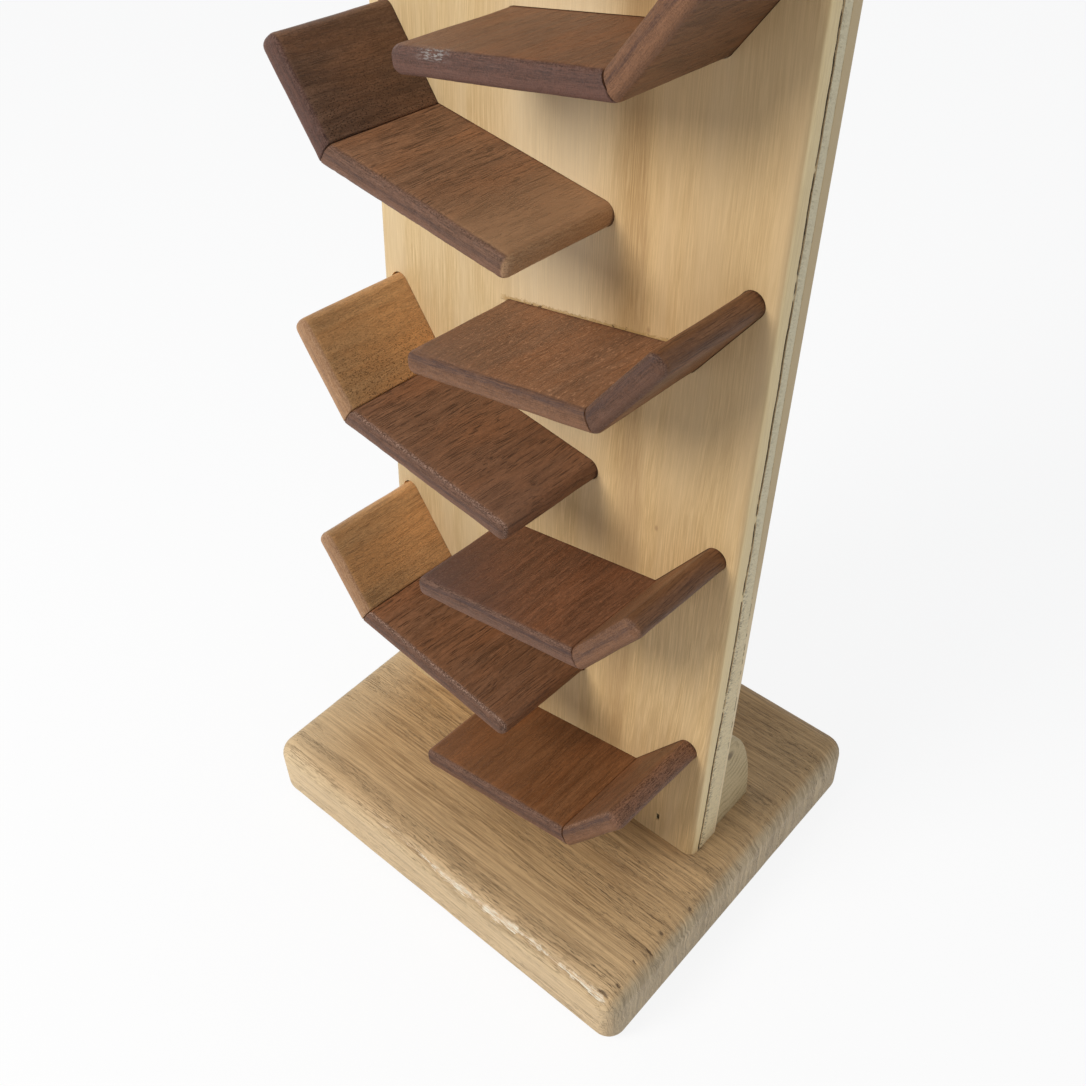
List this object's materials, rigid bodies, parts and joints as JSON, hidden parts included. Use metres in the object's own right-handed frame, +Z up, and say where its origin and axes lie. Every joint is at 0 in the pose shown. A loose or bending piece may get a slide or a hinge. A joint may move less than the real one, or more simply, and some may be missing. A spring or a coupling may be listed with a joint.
{
  "type": "wooden marble run",
  "caption": "Wooden marble run: a plywood board leaning back on an oak base, with sloping V-shaped hardwood trays slotted through it on the right and left in turn.",
  "frame": {"origin": "middle of the base's lower face, on the surface that the toy stands on", "axes": "+Z up, -Y to the front, where the trays stand out of the board, +X to the right as seen from the front"},
  "size_m": [0.133, 0.1134, 0.3813],
  "materials": {
    "oak": "oiled, open grain",
    "plywood": "sanded, clear finish",
    "softwood": "sanded",
    "dark_hardwood": "oiled, fine open grain",
    "pale_hardwood": "oiled, fine open grain",
    "steel": "plain"
  },
  "bodies": {
    "root": {"base": "oak", "board": "plywood", "foot_block": "softwood", "base_screws": "steel", "board_brads": "steel", "ramp_1": "dark_hardwood", "ramp_2": "dark_hardwood", "ramp_3": "dark_hardwood", "ramp_4": "dark_hardwood", "ramp_5": "dark_hardwood", "ramp_6": "dark_hardwood", "ramp_7": "dark_hardwood", "ramp_8": "dark_hardwood", "ramp_9": "dark_hardwood", "ramp_10": "dark_hardwood", "stop_1": "dark_hardwood", "stop_2": "pale_hardwood", "stop_3": "dark_hardwood", "stop_4": "pale_hardwood", "stop_5": "dark_hardwood", "stop_6": "dark_hardwood", "stop_7": "dark_hardwood", "stop_8": "dark_hardwood", "stop_9": "dark_hardwood", "stop_10": "dark_hardwood"}
  },
  "joints": []
}
